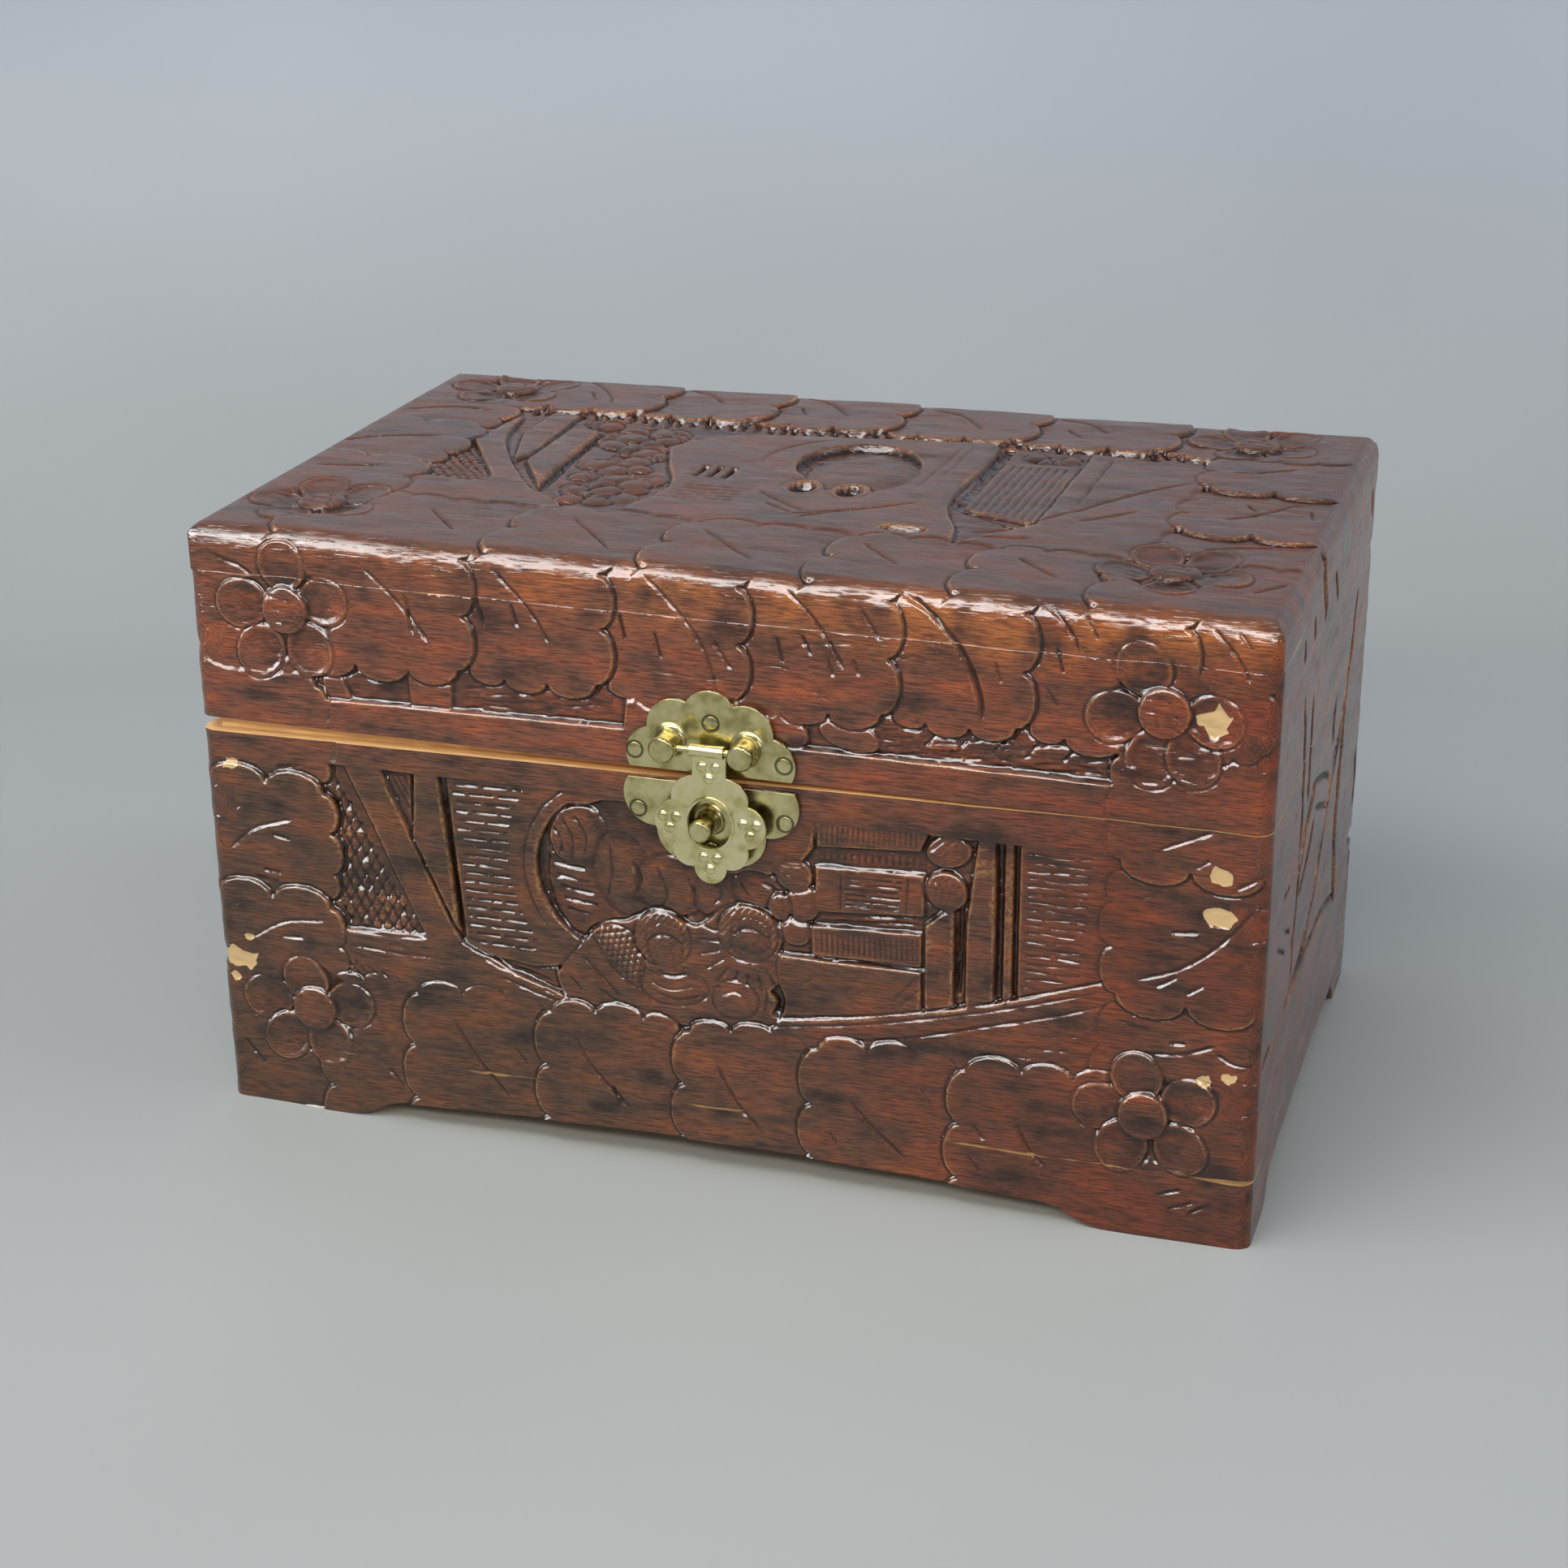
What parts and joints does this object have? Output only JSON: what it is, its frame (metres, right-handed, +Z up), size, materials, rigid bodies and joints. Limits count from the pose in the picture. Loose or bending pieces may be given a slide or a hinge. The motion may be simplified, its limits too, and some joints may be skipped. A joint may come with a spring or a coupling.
{
  "type": "keepsake box",
  "caption": "Carved hardwood keepsake box with a hinged lid, bracket-footed plinth and a scalloped brass lock plate, hasp and staple.",
  "frame": {"origin": "on the table under the middle of the whole outline, latch and hinge barrels included", "axes": "+X along the front to the right, -Y towards the front with the latch, +Z up"},
  "size_m": [0.305, 0.2006, 0.1785],
  "materials": {
    "varnished_camphor_wood": "gloss varnish over dark red-brown stain, worn at the arrises",
    "plain_camphor_wood": "planed, unstained",
    "yellow_brass": "polished sheet brass, lightly tarnished"
  },
  "bodies": {
    "box_body": {"front_panel": "varnished_camphor_wood", "back_panel": "varnished_camphor_wood", "left_end_panel": "varnished_camphor_wood", "right_end_panel": "varnished_camphor_wood", "bottom_board": "plain_camphor_wood", "plinth_front": "varnished_camphor_wood", "plinth_back": "varnished_camphor_wood", "plinth_left": "varnished_camphor_wood", "plinth_right": "varnished_camphor_wood", "lipping_front": "plain_camphor_wood", "lipping_left": "plain_camphor_wood", "lipping_right": "plain_camphor_wood", "body_lock_plate": "yellow_brass", "body_plate_nails": "yellow_brass", "staple_post": "yellow_brass", "hinge_body_leaf_left": "yellow_brass", "hinge_body_leaf_right": "yellow_brass", "hinge_pin_left": "yellow_brass", "hinge_pin_right": "yellow_brass", "hinge_body_screws": "yellow_brass"},
    "lid": {"lid_top_board": "varnished_camphor_wood", "lid_front_rail": "varnished_camphor_wood", "lid_back_rail": "varnished_camphor_wood", "lid_left_rail": "varnished_camphor_wood", "lid_right_rail": "varnished_camphor_wood", "lid_lock_plate": "yellow_brass", "lid_plate_nails": "yellow_brass", "hasp_post_left": "yellow_brass", "hasp_post_right": "yellow_brass", "hasp_pin": "yellow_brass", "hinge_lid_leaf_left": "yellow_brass", "hinge_lid_leaf_right": "yellow_brass", "hinge_lid_screws": "yellow_brass"},
    "hasp": {"hasp": "yellow_brass"}
  },
  "joints": [
    {"name": "lid_hinge", "type": "hinge", "parent": "box_body", "child": "lid", "pos_m": [0, 0.09815, 0.12115], "axis": [-1, 0, 0], "range_deg": [0, 100]},
    {"name": "hasp_swing", "type": "hinge", "parent": "lid", "child": "hasp", "pos_m": [0.002, -0.09485, 0.1302], "axis": [-1, 0, 0], "range_deg": [0, 180]}
  ]
}
